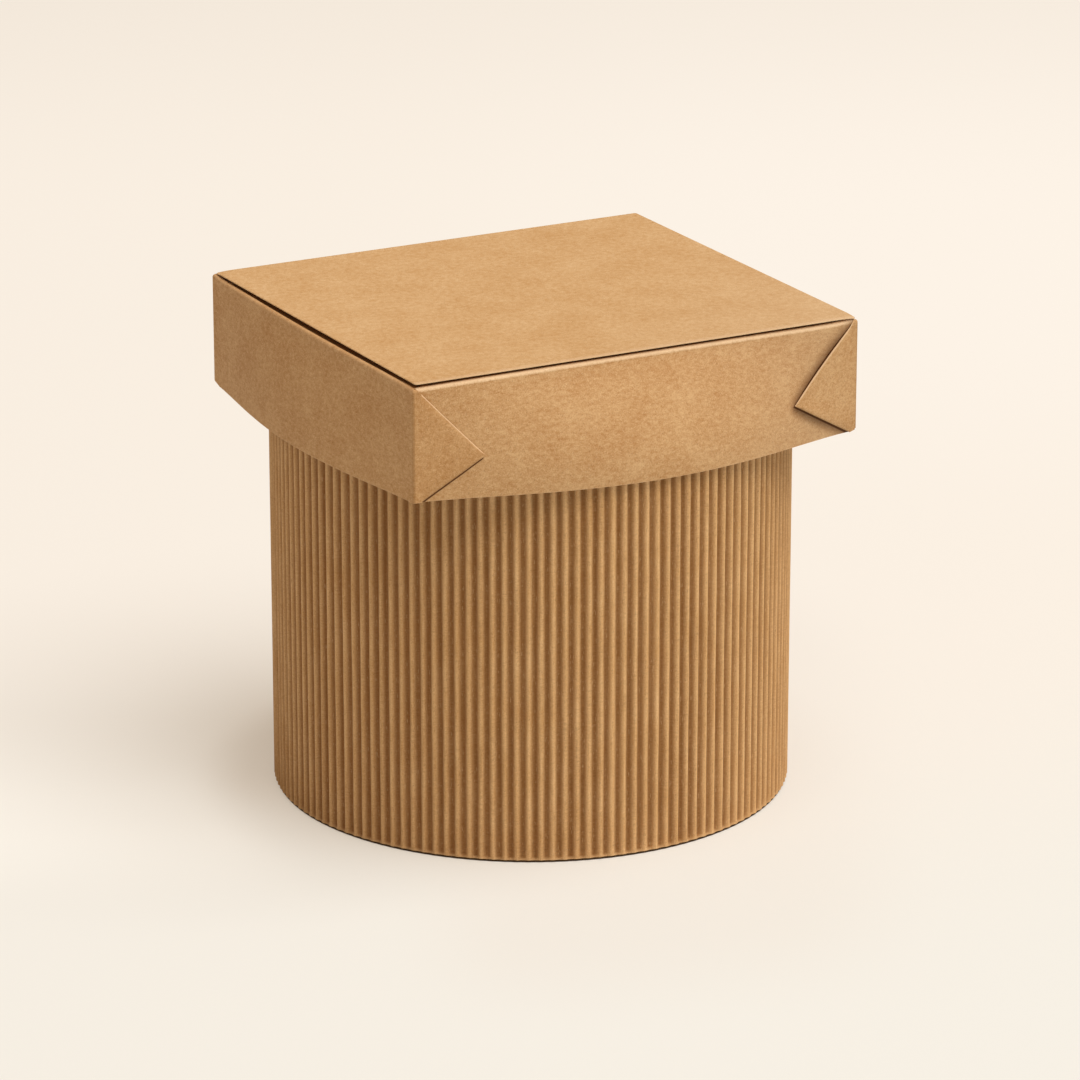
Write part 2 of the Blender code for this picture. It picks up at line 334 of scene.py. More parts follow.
def wound_flutes():
    """Node tree that winds one sheet round the axis and lets it rise and fall once a flute."""
    tree = bpy.data.node_groups.new("wound_flutes", "GeometryNodeTree")
    sizes = ("Crest radius", "Flute depth", "Foot", "Top", "Seam", "Paper", "Crushed", "Seed")
    named = [(size, "NodeSocketFloat") for size in sizes]
    given = name_inputs(tree, named + [("Flutes", "NodeSocketInt"), ("Material", "NodeSocketMaterial")])
    columns = given["Flutes"] * POINTS_PER_FLUTE + 1
    sheet = Wire.node(tree, "GeometryNodeMeshGrid", {}, {
        "Size X": 1, "Size Y": 1, "Vertices X": columns, "Vertices Y": WRAP_ROWS})
    place = Wire.node(tree, "GeometryNodeInputPosition", {}, {})
    apart = place.beside("ShaderNodeSeparateXYZ", {}, {0: place}, "X").socket.node
    round_share = Wire(apart.outputs["X"]) + 0.5
    up_share = (Wire(apart.outputs["Y"]) + 0.5) ** ROW_SPREAD_POWER
    height = given["Foot"] + (given["Top"] - given["Foot"]) * up_share
    turns = round_share * given["Flutes"]
    number = turns.maths("FLOOR", turns)

    def waver(pace, seed):
        """Change round 0 up each flute, its own for every flute, at this pace a metre."""
        spot = place.beside("ShaderNodeCombineXYZ", {}, {
            "X": number * NEIGHBOURS_APART, "Y": height * pace, "Z": given["Seed"] + seed})
        return place.beside("ShaderNodeTexNoise", {}, {"Vector": spot, "Scale": 1, "Detail": 2}) - 0.5

    wave = 0.5 - 0.5 * turns.maths("COSINE", turns * (2 * math.pi))
    crush = CRUSH_SHARE * (height - given["Foot"]).fade(given["Crushed"], 0)
    rise = wave ** (CREST_POWER + CREST_WAVER * waver(*CREST_CHANGE))
    rise = rise + (1 - rise) * crush
    seam_angle = given["Seam"] / given["Crest radius"]
    sway = SWAY_SHARES[0] * waver(*FINE_SWAY) + SWAY_SHARES[1] * waver(*SLOW_SWAY)
    sway = sway * wave / given["Flutes"]
    angle = math.pi / 2 + seam_angle / 2 + (round_share + sway) * (2 * math.pi - seam_angle)
    sunk = (1 - rise) + SUNK_SHARE * wave * (waver(*SINKING) + 0.5)
    radius = given["Crest radius"] - given["Flute depth"] * sunk
    wound = place.beside("ShaderNodeCombineXYZ", {}, {
        "X": radius * angle.maths("COSINE", angle),
        "Y": radius * angle.maths("SINE", angle),
        "Z": height})
    for name, value in (("rise", rise), ("flute", number), ("rim", crush)):
        sheet = place.beside("GeometryNodeStoreNamedAttribute", {}, {
            "Geometry": sheet, "Name": name, "Value": value})
    sheet = place.beside("GeometryNodeSetPosition", {}, {"Geometry": sheet, "Position": wound})
    flipped = place.beside("GeometryNodeFlipFaces", {}, {"Mesh": sheet})
    back = place.beside("GeometryNodeExtrudeMesh", {"mode": "FACES"}, {
        "Mesh": flipped, "Offset Scale": given["Paper"], "Individual": False})
    joined = place.beside("GeometryNodeJoinGeometry", {}, {"Geometry": sheet})
    back.feed(joined.socket.node, "Geometry")
    closed = place.beside("GeometryNodeMergeByDistance", {}, {"Geometry": joined, "Distance": WELD_REACH})
    end_tree(tree, closed, given["Material"])
    return tree


def grown(name, tree, values):
    """Plain mesh piece made by a node tree with these values for its named inputs."""
    start = placed(name + "_start", bpy.data.meshes.new(name + "_start"))
    modifier = start.modifiers.new(name, "NODES")
    modifier.node_group = tree
    for item in tree.interface.items_tree:
        if item.in_out == "INPUT":
            modifier[item.identifier] = values[item.name]
    shown = start.evaluated_get(bpy.context.evaluated_depsgraph_get())
    mesh = bpy.data.meshes.new_from_object(shown)
    bpy.data.objects.remove(start, do_unlink=True)
    mesh.name = name
    return smooth_piece(name, mesh)


DRAWN_GRAIN = (0.0008, 0.0008, 0.010)
FLUTE_TONES = ((0.63, 0.334, 0.122, 1), (0.85, 0.520, 0.245, 1))
FLUTE_SHADE = (0.40, 0.202, 0.074, 1)
TROUGH_SHADE = (0.205, 0.071, 0.007, 1)
TROUGH_SHARES = (1.12, -0.02)
OWN_TONES_APART = 3.7
SOFT_SPOT = (0.003, 0.003, 0.012)
TICK = (0.0016, 0.0016, 0.0004)
LINE = (0.0005, 0.0005, 0.012)
RUBBED = (0.86, 0.56, 0.28, 1)
RUBBED_SPOTS = (((0, 0, 0), 0.00016, 0.0012), ((0, 0, 1), 0.00012, 0.0007))
GRIME_AND_LIP_SHADE = (0.22, 0.10, 0.03, 1)
GRIME_SPOT = ((0, 0, 2), 0.00016, 0.0010)
CRUSHED_PALE = (0.62, 0.42, 0.24, 1)
# Painted shade and light: the drum is painted darker on the side that faces this way and a little at the
# far edge of the other side, and painted lighter just before that edge. A band starts at its first
# distance from the axis.
SHADED_SIDE_WAY = (-0.882, 0.472, 0)
SIDE_SHADE = (0.24, 0.076, 0.010, 1)
SIDE_SHADE_BAND = (-0.010, 0.050)
EDGE_SHADE_BAND = (-0.063, -0.0745)
DRUM_PAINTED_LIGHT = (0.90, 0.56, 0.26, 1)
DRUM_LIGHT_BAND = (-0.045, -0.060)
FLUTE_ROUGHNESS = 0.82
FLUTE_RELIEF = 0.00005


def fluted_kraft():
    """Kraft rubbed paler in flecks, streaked up the flutes, with painted shade in the troughs."""
    material, shader, place = start_finish("fluted_kraft_paper")
    colour, relief = pulp(place, DRAWN_GRAIN, FLUTE_TONES)
    rise = read(place, "rise")
    own = place.beside("ShaderNodeCombineXYZ", {}, {"X": read(place, "flute") * OWN_TONES_APART})
    own = place.beside("ShaderNodeTexNoise", {}, {"Vector": own, "Scale": 1, "Detail": 0}) - 0.5
    soft = mottle(place, SOFT_SPOT, 2)
    ticks = mottle(place, TICK, 2)
    lines = mottle(place, LINE, 2)
    colour = (0.10 + 0.6 * own + 0.75 * soft + 1.2 * ticks + 0.7 * lines).mix(colour, FLUTE_SHADE)
    # Painted shade: the troughs are painted darker.
    trough = (rise + 0.35 * soft + 0.30 * ticks).fade(*TROUGH_SHARES)
    colour = ((0.80 + 0.25 * own + 0.3 * soft + 0.35 * ticks) * trough).mix(colour, TROUGH_SHADE)
    colour = (0.30 * strewn(place, RUBBED_SPOTS)).mix(colour, RUBBED)
    colour = (0.30 * strands(place, *GRIME_SPOT)).mix(colour, GRIME_AND_LIP_SHADE)
    # Painted shade on one side and at the far edge, and painted light just before that edge.
    sockets = {0: place, 1: SHADED_SIDE_WAY}
    side = place.beside("ShaderNodeVectorMath", {"operation": "DOT_PRODUCT"}, sockets, "Value")
    colour = (0.22 * side.fade(*SIDE_SHADE_BAND) + 0.20 * side.fade(*EDGE_SHADE_BAND)).mix(colour, SIDE_SHADE)
    colour = (0.08 * side.fade(*DRUM_LIGHT_BAND)).mix(colour, DRUM_PAINTED_LIGHT)
    colour = (0.25 * read(place, "rim")).mix(colour, CRUSHED_PALE)
    finish_sheet(shader, colour, relief, FLUTE_ROUGHNESS, FLUTE_RELIEF)
    return material


fluted_wrap = grown("fluted_wrap_sheet", wound_flutes(), {
    "Crest radius": CREST_RADIUS, "Flute depth": FLUTE_DEPTH, "Flutes": FLUTES, "Foot": WRAP_FOOT,
    "Top": WRAP_TOP, "Seam": SEAM_WIDTH, "Paper": FLUTE_PAPER, "Crushed": CRUSHED, "Seed": 4.0,
    "Material": fluted_kraft(),
})
settle(fluted_wrap, "drum", "fluted_kraft", "fluted_wrap")
BACKING_TONES = ((0.40, 0.235, 0.10, 1), (0.52, 0.32, 0.15, 1))
dress("wrap_backing", kraft_paper("backing_paper", UPRIGHT_GRAIN, BACKING_TONES))


# Lid walls: four strips of kraft card, each scored and turned in along the top. The front and rear
# strips are plain. The side strips turn round the corners and end in pointed tabs, glued on outside.
CARD = 0.0005
LID_FOOT = 0.1105  # floor to the lid's lower edge
LID_HALF_WIDTH = 0.07001
LID_HALF_DEPTH = 0.06402
CREASE_HEIGHT = 0.0309
WALL_HEIGHT = 0.0319
FLANGE_WIDTH = 0.013

# Crease: the scoring leaves a bead that stands over the flange and ends this far in from the wall.
BEAD = 0.00018
BEAD_END = 0.0026
FRONT_CREASE = 0.0012
SIDE_CREASE = 0.0009
FRONT_SWELL = 0.0002  # how much more the bead stands up at the middle of a wall
SIDE_SWELL = 0.00025
SWELL_POWER = 4
SIDE_DIP = 0.0003
CORNER_RISE = 0.0007
RISE_POWER = 16

# Bow: how far the drum pushes out the lower edges, and the side walls' creases too.
FRONT_BOW = 0.01345
SIDE_BOW = 0.0062
BOW_FADE_POWER = 1.5
RIM_BOW = 0.0012

# Corners: their radius, the flange left there, and how a worn lower corner is eased.
CORNER_RADIUS = 0.00065
CORNER_FLANGE = 0.0006
CORNER_EASE = 0.0009
CORNER_REACH = 0.0024
RUN_END = 0.0003  # how close to a wall's mitred end its last section but one lies

# Tabs: full height up to the shoulder, then tapered to a tip, which lies this high over the lower edge.
TAB_LAYER = 0.0006
TAB_REACH = {"left": 0.020, "right": 0.0228}
TAB_SHOULDER = 0.0024
TAB_TIP_HEIGHT = 0.0118
TAB_TIP_SHARE = 0.01
TAB_TOP = WALL_HEIGHT + BEAD - FRONT_CREASE
TAB_LEAN = 1.0
LIFT_SLANT = 0.53  # how far a loose tab's upper edge slides along the wall, as a share of its lift
TIP_STAND = 0.4
TIP_CURL_POWER = 0.5
FOOT_CURL = 0.6
UPPER_CURL_POWER = 0.7
LOWER_CURL_POWER = 1.5
TAB_SPREAD_POWER = 1.6

# Edges: one row of each sheet lies this close to its edge. A tab's edge slants, this wide and this deep.
LIP = 0.00035
TAB_LIP = 0.0007
LIP_DEPTH = 0.00028
SHEET_WELD = 1e-7

SKIRT_ROWS = 12
CREASE_STEPS = 6
BEAD_STEPS = 4
WALL_LENGTHS = 36
CORNER_STEPS = 8
TAB_STEPS = 12

# Marks that the mesh carries for the material, from -1 to 1. Above 0 they mark creases, paler from wear
# and painted highlight, and raw cut edges; below 0 they mark painted shade.
WEAR_AND_HIGHLIGHT_POWER = 0.45
CORNER_SHADE = -0.4
FOOT_CUT = 0.4


def wall_frame(turn, form, raised):
    """Which way a wall faces and runs, how it is creased, and which of its ends stand up a little."""
    out = Vector((math.cos(turn), math.sin(turn), 0))
    return {"out": out, "along": Vector((-out.y, out.x, 0)), "raised": raised, **form}


END_FORM = {"span": LID_HALF_DEPTH - TAB_LAYER, "crease": FRONT_CREASE, "swell": FRONT_SWELL, "dip": 0,
            "ease": 0, "lean": TAB_LEAN}
SIDE_FORM = {"span": LID_HALF_WIDTH, "crease": SIDE_CREASE, "swell": SIDE_SWELL, "dip": SIDE_DIP,
             "ease": CORNER_EASE, "lean": 0}
FRONT = wall_frame(-math.pi / 2, END_FORM, (0, 1))
REAR = wall_frame(math.pi / 2, END_FORM, (1, 1))
LEFT = wall_frame(math.pi, SIDE_FORM, (1, 0))
RIGHT = wall_frame(0, SIDE_FORM, (1, 1))


def bow_out(point):
    """Moves a point of the straight folded lid to where the round drum pushes it."""
    rise = min(1, max(0, point.z / CREASE_HEIGHT))
    bow = math.cos(rise * math.pi / 2)
    front = max(0, 1 - (point.x / LID_HALF_WIDTH) ** 2) ** BOW_FADE_POWER
    side = max(0, 1 - (point.y / LID_HALF_DEPTH) ** 2) ** BOW_FADE_POWER
    inner_width = LID_HALF_WIDTH - CARD
    inner_depth = LID_HALF_DEPTH - TAB_LAYER - CARD
    x = (SIDE_BOW * bow + RIM_BOW * rise) * side * max(-1, min(1, point.x / inner_width))
    y = FRONT_BOW * bow * front * max(-1, min(1, point.y / inner_depth))
    return point + Vector((x, y, LID_FOOT))


def on_wall(wall, along, inward, height):
    """Point at a place along a wall, a depth behind its outer face and a height over its lower edge."""
    return bow_out(wall["along"] * along + wall["out"] * (wall["span"] - inward) + Vector((0, 0, height)))


def rows(foot, top, lip):
    """Heights of a sheet's rows, with one row this close to each edge."""
    lip = min(lip, (top - foot) / 4)
    inner = [foot + lip + (top - foot - 2 * lip) * row / (SKIRT_ROWS - 2) for row in range(SKIRT_ROWS - 1)]
    return [foot, *inner, top]


def fold_line(wall, depth, middle, raised):
    """Up a wall, round its crease, over the bead that the scoring leaves and in along the flange.

    A step is its inward distance, its height and its mark of wear and painted highlight. A side wall's
    flange dips behind the crease where the wall has sunk, and less than 0 marks the painted shade on the
    way down into that dip.
    """
    crease = wall["crease"]
    bead = BEAD + wall["swell"] * middle + CORNER_RISE * raised
    rim = WALL_HEIGHT + bead
    line = [(depth, height, 0) for height in rows(0, rim - crease, LIP)]
    for step in range(1, CREASE_STEPS + 1):
        turn = math.pi / 2 * step / CREASE_STEPS
        radius = crease - depth
        wear_and_shading = math.sin(turn) ** WEAR_AND_HIGHLIGHT_POWER
        line.append((crease - radius * math.cos(turn), rim - crease + radius * math.sin(turn), wear_and_shading))
    for step in range(1, BEAD_STEPS + 1):
        share = step / BEAD_STEPS
        fall = (bead + wall["dip"] * middle) * (1 - math.cos(math.pi * share)) / 2
        wear_and_shading = -share if wall["dip"] else 1 - share
        inward = crease + (BEAD_END - crease) * share
        line.append((inward, rim - depth - fall, wear_and_shading))
    line.append((FLANGE_WIDTH, WALL_HEIGHT - depth, 0))
    return line


def eased(wall, height, away):
    """Height of a point of a sheet that is cut a little higher at its worn corner, this far away."""
    lift = wall["ease"] * max(0, 1 - away / CORNER_REACH) ** 2
    return lift + height * (1 - lift / WALL_HEIGHT)


class Sheet:
    """A sheet of card under construction, made of sections that all have as many points."""

    def __init__(self):
        self.bm = bmesh.new()
        self.wear_and_shading = self.bm.verts.layers.float.new("wear_and_shading")
        self.cut = self.bm.verts.layers.float.new("cut")
        self.previous = None

    def add(self, outer, inner):
        """Adds a section. Both faces are lists of (point, wear, cut), from the lower edge on."""
        section = []
        for point, wear_and_shading, cut in outer + inner[::-1]:
            section.append(self.bm.verts.new(point))
            section[-1][self.wear_and_shading] = wear_and_shading
            section[-1][self.cut] = cut
        if self.previous:
            for step, corner in enumerate(section):
                self.bm.faces.new((self.previous[step - 1], self.previous[step], corner, section[step - 1]))
        else:
            self.bm.faces.new(section)
        self.previous = section

    def close(self, name, material):
        self.bm.faces.new(self.previous)
        bmesh.ops.remove_doubles(self.bm, verts=self.bm.verts, dist=SHEET_WELD)
        return finished(name, self.bm, material)


def over_tab(height):
    """How far a point of a crease is over the top of the tab's slanting edge."""
    return min(FRONT_CREASE, max(0, height - TAB_TOP))


def add_run(sheet, wall, length):
    """Straight run of a wall with its flange, whose ends are mitred."""
    inner = [(2 * step / WALL_LENGTHS - 1) * (1 - RUN_END / length) for step in range(WALL_LENGTHS + 1)]
    for share in (-1, *inner, 1):
        middle = 1 - share**SWELL_POWER
        raised = wall["raised"][share > 0] * share**RISE_POWER
        faces = []
        for depth in (0, CARD):
            face = []
            for inward, height, wear_and_shading in fold_line(wall, depth, middle, raised):
                beyond = inward - wall["crease"]
                lean = wall["lean"] * over_tab(height) if beyond <= 0 else 0
                place = share * (length + lean - max(0, beyond))
                cut = FOOT_CUT if height == 0 else 0
                height = eased(wall, height, length * (1 + share))
                face.append((on_wall(wall, place, inward, height), wear_and_shading, cut))
            faces.append(face)
        sheet.add(*faces)


def curl(taper, up):
    """How far a loose tab stands off at a place along it and up it, as a share of its lift."""
    upper = up**2 * math.sin(math.pi * taper**UPPER_CURL_POWER)
    lower = FOOT_CURL * (1 - up) ** 2 * math.sin(math.pi * taper**LOWER_CURL_POWER)
    return TIP_STAND * taper**TIP_CURL_POWER + (1 - TIP_STAND) * (upper + lower)


def tab_face(wall, hand, length, depth, past, taper, lift):
    """One face of a section of a tab that lies `past` the corner, or of its corner if that is negative."""
    face = []
    left = 1 - taper * (1 - TAB_TIP_SHARE)
    foot = TAB_TIP_HEIGHT * (1 - left)
    heights = rows(foot, TAB_TIP_HEIGHT + (TAB_TOP - TAB_TIP_HEIGHT) * left, TAB_LIP)
    for step, (inward, height, wear_and_shading) in enumerate(fold_line(wall, depth, 0, wall["raised"][hand > 0])):
        inward = min(inward, CORNER_FLANGE)
        cut = FOOT_CUT if step == 0 else 0
        if taper > 0:
            # Below 0 marks a tab's lower edge, which the material paints darker as shade under the rolled
            # edge.
            cut = -1 if step == 0 else step >= SKIRT_ROWS
            height = heights[min(step, SKIRT_ROWS)]
            inward = max(depth, LIP_DEPTH) if cut else depth
            inward -= lift * curl(taper, min(1, step / SKIRT_ROWS))
            wear_and_shading = 0
        spot = past
        if taper > 0:
            spot += LIFT_SLANT * lift * curl(taper, 1) * min(1, step / SKIRT_ROWS) ** 2
        elif past == TAB_SHOULDER:
            spot -= TAB_LEAN * over_tab(height)
        height = eased(wall, height, max(0, past) if hand < 0 else CORNER_REACH)
        if past < 0:
            wear_and_shading = wear_and_shading or CORNER_SHADE
            turn = math.pi / 2 * (1 + past)
            radius = CORNER_RADIUS - inward
            place = (length + radius * math.sin(turn), CORNER_RADIUS - radius * math.cos(turn))
        else:
            place = (length + CORNER_RADIUS - inward, spot)
        face.append((on_wall(wall, hand * place[0], place[1], height), wear_and_shading, cut))
    return face


def add_tab(sheet, wall, hand, length, reach, lift, outwards):
    """Carries a side wall round its corner and on as a pointed tab, or back from the tab's tip."""
    steps = [(step / CORNER_STEPS - 1, 0) for step in range(1, CORNER_STEPS)]
    steps += [(CORNER_RADIUS, 0), (TAB_SHOULDER, 0)]
    for step in range(1, TAB_STEPS + 1):
        share = (step / TAB_STEPS) ** TAB_SPREAD_POWER
        steps.append((TAB_SHOULDER + (reach - TAB_SHOULDER) * share, share))
    for past, taper in steps if outwards else steps[::-1]:
        sheet.add(*(tab_face(wall, hand, length, depth, past, taper, lift) for depth in (0, CARD)))


CRACK = (0.0008, 0.0008, 0.0008)
STRETCHED_AND_HIGHLIT = (0.94, 0.68, 0.43, 1)
STRETCHED_AND_HIGHLIT_SHARES = (0, 1)
RAW_CORE = (0.92, 0.66, 0.42, 1)
RAW_SHARES = (0.1, 0.8)
LIP_SHADE_SHARES = (0, -1)
FOLD_SHADE = (0.27, 0.12, 0.030, 1)
SHADED_SHARES = (0, -0.9)


def wall_card(name, run, worn, tones):
    """Kraft card, paler along its creases from stretching and painted highlight, rubbed to the raw core at
    its cut edges, and painted darker as shade on its folds, corners and tabs' lower edges.
    """
    material, shader, place = start_finish(name)
    colour, relief = pulp(place, run, tones)
    wear_and_shading = read(place, "wear_and_shading")
    cracked = wear_and_shading + 0.8 * mottle(place, CRACK, 3)
    # Paler creases: partly stretched card, partly painted highlight.
    colour = (worn * cracked.fade(*STRETCHED_AND_HIGHLIT_SHARES)).mix(colour, STRETCHED_AND_HIGHLIT)
    cut = read(place, "cut")
    colour = (0.5 * cut.fade(*RAW_SHARES)).mix(colour, RAW_CORE)
    # Painted shade on the tabs' lower edges, where the mesh marks the cut below 0.
    colour = (0.4 * cut.fade(*LIP_SHADE_SHARES)).mix(colour, GRIME_AND_LIP_SHADE)
    colour = (0.7 * wear_and_shading.fade(*SHADED_SHARES)).mix(colour, FOLD_SHADE)
    return material, shader, place, colour, relief


# Painted shadow of the tabs: how far it shows past a tab's edge and how softly it ends, and how far the
# painted shadow round a loose tab reaches over the tab's lower edge, under its upper edge and past its
# tip. The tips' reach is a share of the taper.
TAB_SHADOW = (0.105, 0.032, 0.004, 1)
SHADOW_BELOW_TAB = 0.0009
TAB_SHADOW_SOFT = 0.00025
TAB_SHADOW_TIP_SHARES = (0, 0.04)
TAB_SHADOW_PAST_TIP = 0.12
LOOSE_TAB_SHADOW = (0.150, 0.046, 0.005, 1)
LOOSE_SHADOW_FOOT = (-0.0036, 0.0006)
LOOSE_SHADOW_TOP = (-0.0044, 0.0010)
LOOSE_SHADOW_TIP_SHARES = (-0.16, 0.02)
LOOSE_SHADOW_SHARES = {"front": 0.57, "rear": 0}
MIDDLE_BAND = (-0.01, 0.01)
PAINTED_RIGHT_LIGHT = (0.75, 0.57, 0.38, 1)


def tab_shadow_line(place, colour, loose_shadow):
    """Painted shadow along the tabs' lower edges and round a loose tab, and painted light to the right."""
    apart = place.beside("ShaderNodeSeparateXYZ", {}, {0: place}).socket.node
    across = Wire(apart.outputs["X"])
    past = LID_HALF_WIDTH - place.maths("ABSOLUTE", across)
    height = Wire(apart.outputs["Z"]) - LID_FOOT
    right = across.fade(*MIDDLE_BAND)
    reach = TAB_REACH["left"] + (TAB_REACH["right"] - TAB_REACH["left"]) * right
    taper = (past - TAB_SHOULDER) / (reach - TAB_SHOULDER)
    over_foot = height - TAB_TIP_HEIGHT * taper + SHADOW_BELOW_TAB
    under_top = TAB_TIP_HEIGHT + (TAB_TOP - TAB_TIP_HEIGHT) * (1 - taper) - height
    past_tip = 1 - taper
    # Painted shadow round the loose tab.
    loose_shade = over_foot.fade(*LOOSE_SHADOW_FOOT) * under_top.fade(*LOOSE_SHADOW_TOP) * past_tip.fade(*LOOSE_SHADOW_TIP_SHARES)
    # Painted light: the right half of the wall is painted paler.
    colour = (0.12 * across.fade(0, LID_HALF_WIDTH)).mix(colour, PAINTED_RIGHT_LIGHT)
    colour = (loose_shadow * loose_shade * right).mix(colour, LOOSE_TAB_SHADOW)
    # Painted shadow just under each tab's lower edge and behind a lifted tab.
    tab_shadowed = over_foot.fade(0, TAB_SHADOW_SOFT) * under_top.fade(-TAB_SHADOW_SOFT, TAB_SHADOW_SOFT)
    tab_shadowed = tab_shadowed * (past_tip + TAB_SHADOW_PAST_TIP * loose_shadow * right).fade(*TAB_SHADOW_TIP_SHARES)
    return (0.95 * tab_shadowed).mix(colour, TAB_SHADOW)


FRONT_GRAIN = (0.0017, 0.0011, 0.0009)
SIDE_GRAIN = (0.0011, 0.0017, 0.0009)
FRONT_TONES = ((0.438, 0.206, 0.067, 1), (0.643, 0.391, 0.186, 1))
SIDE_TONES = {"left": ((0.423, 0.191, 0.056, 1), (0.623, 0.361, 0.161, 1)), "right": FRONT_TONES}
FRONT_WEAR_AND_HIGHLIGHT = 0.7
SIDE_WEAR_AND_HIGHLIGHT = 0.08
SHOULDER_GAP = 0.0001
FRONT_LENGTH = LID_HALF_WIDTH - TAB_SHOULDER - SHOULDER_GAP
SIDE_LENGTH = LID_HALF_DEPTH - CORNER_RADIUS

for side, wall in (("front", FRONT), ("rear", REAR)):
    sheet = Sheet()
    add_run(sheet, wall, FRONT_LENGTH)
    card = wall_card(f"{side}_wall_card", FRONT_GRAIN, FRONT_WEAR_AND_HIGHLIGHT, FRONT_TONES)
    material, shader, place, colour, relief = card
    # Painted shadow under the tabs and round the loose tab, and painted light towards the right.
    colour = tab_shadow_line(place, colour, LOOSE_SHADOW_SHARES[side])
    finish_sheet(shader, colour, relief, CARD_ROUGHNESS, PAPER_RELIEF)
    settle(sheet.close(f"lid_{side}_sheet", material), "lid", "wall_card", f"lid_{side}_wall")

# How far the tips of a side wall's tabs stand off the wall that they are glued to: its first and last.
TAB_LIFTS = {"left": (0.0002, 0.0001), "right": (0.0019, 0.0002)}
for side, wall in (("left", LEFT), ("right", RIGHT)):
    sheet = Sheet()
    first_lift, last_lift = TAB_LIFTS[side]
    add_tab(sheet, wall, -1, SIDE_LENGTH, TAB_REACH[side], first_lift, outwards=False)
    add_run(sheet, wall, SIDE_LENGTH)
    add_tab(sheet, wall, 1, SIDE_LENGTH, TAB_REACH[side], last_lift, outwards=True)
    card = wall_card(f"{side}_wall_card", SIDE_GRAIN, SIDE_WEAR_AND_HIGHLIGHT, SIDE_TONES[side])
    material, shader, place, colour, relief = card
    finish_sheet(shader, colour, relief, CARD_ROUGHNESS, PAPER_RELIEF)
    settle(sheet.close(f"lid_{side}_sheet", material), "lid", "wall_card", f"lid_{side}_wall")


# Top of the lid: a board stiffener on the flanges and a flat panel of kraft card glued on it, whose
# rolled edge stands a little over the rim. A card lining closes the inside, under the flanges.
PANEL_HALF_WIDTH = 0.06901
PANEL_HALF_DEPTH = 0.06302
PANEL_TOP = 0.1439
PANEL_CARD = 0.0003
PANEL_CORNER = 0.0008
ROLLED_EDGE = 0.00022
EDGE_ROUND = 0.5
ROUND_STEPS = 4
PRESSED = 0.00025
PRESSED_REACH = 0.005
PRESSED_CUTS = 4
PANEL_SHIFT = 0.0003
# Which side each corner is on, and how far it is drawn out of square.
PANEL_CORNERS = ((-1, -1, 0, 0), (1, -1, 0.0003, -0.0002), (1, 1, 0, 0), (-1, 1, -0.0004, 0.0002))
SAME_HEIGHT = 1e-6


def press_corner(point):
    """Lowers a point of the panel near the left or right corner, where the card is pressed down."""
    away = PANEL_HALF_WIDTH - abs(point.x) + PANEL_HALF_DEPTH - abs(point.y)
    if point.x * point.y < 0 and away < PRESSED_REACH:
        point.z -= PRESSED * (1 - away / PRESSED_REACH) ** 2


def panel_plate():
    """Flat card with eased corners and its upper edge rolled down by the knife."""
    bm = bmesh.new()
    foot = PANEL_TOP - PANEL_CARD
    corners = []
    for x, y, skew_x, skew_y in PANEL_CORNERS:
        corners.append(bm.verts.new((x * PANEL_HALF_WIDTH + skew_x, y * PANEL_HALF_DEPTH + skew_y, foot)))
    lower = bm.faces.new(corners)
    raised = bmesh.ops.extrude_face_region(bm, geom=[lower])["geom"]
    upper = [item for item in raised if isinstance(item, bmesh.types.BMVert)]
    bmesh.ops.translate(bm, verts=upper, vec=(0, 0, PANEL_CARD))
    upright = [edge for edge in bm.edges if edge.verts[0].co.xy == edge.verts[1].co.xy]
    rounding = {"segments": ROUND_STEPS, "profile": EDGE_ROUND, "affect": "EDGES"}
    bmesh.ops.bevel(bm, geom=upright, offset=PANEL_CORNER, **rounding)
    rolled = [edge for edge in bm.edges if all(abs(v.co.z - PANEL_TOP) < SAME_HEIGHT for v in edge.verts)]
    bmesh.ops.bevel(bm, geom=rolled, offset=ROLLED_EDGE, **rounding)
    ways = ((PANEL_HALF_WIDTH, Vector((1, 0, 0))), (PANEL_HALF_DEPTH, Vector((0, 1, 0))))
    for step in range(1, PRESSED_CUTS + 1):
        for hand in (-1, 1):
            for half, way in ways:
                place = way * hand * (half - PRESSED_REACH * step / PRESSED_CUTS)
                everything = bm.verts[:] + bm.edges[:] + bm.faces[:]
                bmesh.ops.bisect_plane(bm, geom=everything, plane_co=place, plane_no=way)
    for vert in bm.verts:
        press_corner(vert.co)
        vert.co.x += PANEL_SHIFT
    return bm


PANEL_GRAIN = (0.0016, 0.0016, 0.0011)
PANEL_TONES = ((0.530, 0.280, 0.102, 1), (0.690, 0.442, 0.226, 1))
PAINTED_EDGE_HIGHLIGHT = (0.72, 0.50, 0.31, 1)
EDGE_HIGHLIGHT_BAND = (0.0024, 0)
RIGHT_LIGHT_BAND = (0.03, 0.14)


def panel_card():
    """Kraft card with a painted highlight along the front edge and painted light towards the right front
    corner.
    """
    material, shader, place = start_finish("panel_card_face")
    colour, relief = pulp(place, PANEL_GRAIN, PANEL_TONES)
    apart = place.beside("ShaderNodeSeparateXYZ", {}, {0: place}).socket.node
    across, along = Wire(apart.outputs["X"]), Wire(apart.outputs["Y"])
    # Painted highlight along the front edge.
    colour = (0.45 * (PANEL_HALF_DEPTH + along).fade(*EDGE_HIGHLIGHT_BAND)).mix(colour, PAINTED_EDGE_HIGHLIGHT)
    # Painted light towards the right front corner.
    colour = (0.18 * (across - along).fade(*RIGHT_LIGHT_BAND)).mix(colour, PAINTED_RIGHT_LIGHT)
    finish_sheet(shader, colour, relief, PAPER_ROUGHNESS, PAPER_RELIEF)
    return material


